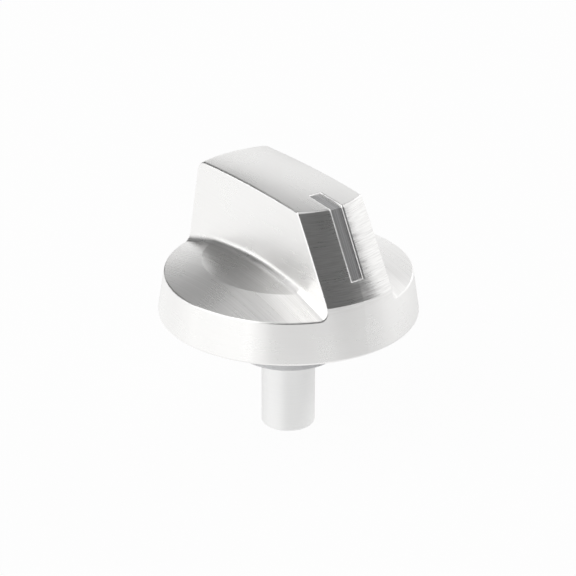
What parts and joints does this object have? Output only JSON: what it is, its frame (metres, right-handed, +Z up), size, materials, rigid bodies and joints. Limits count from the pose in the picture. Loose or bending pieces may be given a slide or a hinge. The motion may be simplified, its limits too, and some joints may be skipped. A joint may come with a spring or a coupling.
{
  "type": "oven control knob",
  "caption": "Oven control knob: brushed metal bar grip on a round skirt, dark pointer strip let into the grip, grey hub and sleeved stem with a D socket for the valve or switch shaft.",
  "frame": {"origin": "on the axis of the shaft socket, at its mouth, which is also the lower end of the stem", "axes": "+Z up along the valve shaft from the panel side to the grip, -Y towards the pointer end of the grip, +X to the right when the pointer end faces the viewer"},
  "size_m": [0.0538, 0.0538, 0.0548],
  "materials": {
    "brushed_nickel": "zinc casting, brushed and plated in satin nickel",
    "dark_strip": "grey anodised strip, brushed along its length",
    "grey_nylon": "light grey glass-filled nylon, fine moulded texture",
    "satin_steel": "drawn steel tube, satin",
    "spring_steel": "bright spring steel leaf",
    "screw_steel": "zinc-plated steel"
  },
  "bodies": {
    "root": {"knob_head": "brushed_nickel", "indicator_strip": "dark_strip", "hub": "grey_nylon", "stem_sleeve": "satin_steel", "spring_clip": "spring_steel", "hub_screws": "screw_steel"}
  },
  "joints": []
}
